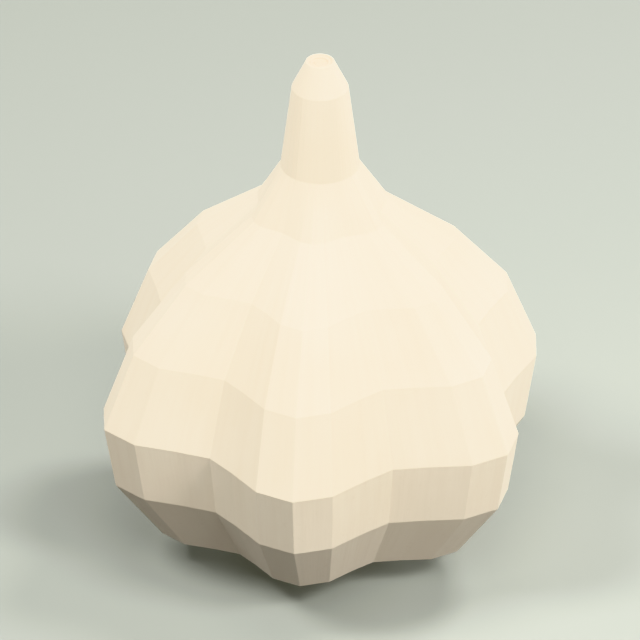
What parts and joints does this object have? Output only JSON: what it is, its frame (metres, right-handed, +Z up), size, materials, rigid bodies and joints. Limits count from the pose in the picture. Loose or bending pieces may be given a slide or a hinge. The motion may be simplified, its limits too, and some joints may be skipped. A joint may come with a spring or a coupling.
{
  "type": "garlic bulb",
  "caption": "Whole garlic bulb in its pale papery skin, lobed by the cloves inside it, drawn in to a cut neck above and a small flat root spot below.",
  "frame": {"origin": "middle of the small flat spot that the bulb rests on, on the bulb's own axis", "axes": "+Z up along the bulb's axis through the neck; -Y towards the front clove, whose crest is turned 6.75 degrees towards -X"},
  "size_m": [0.0552, 0.0596, 0.0697],
  "materials": {
    "garlic_skin": "matt dry papery skin with fine lengthwise veins"
  },
  "bodies": {
    "root": {"garlic_bulb": "garlic_skin"}
  },
  "joints": []
}
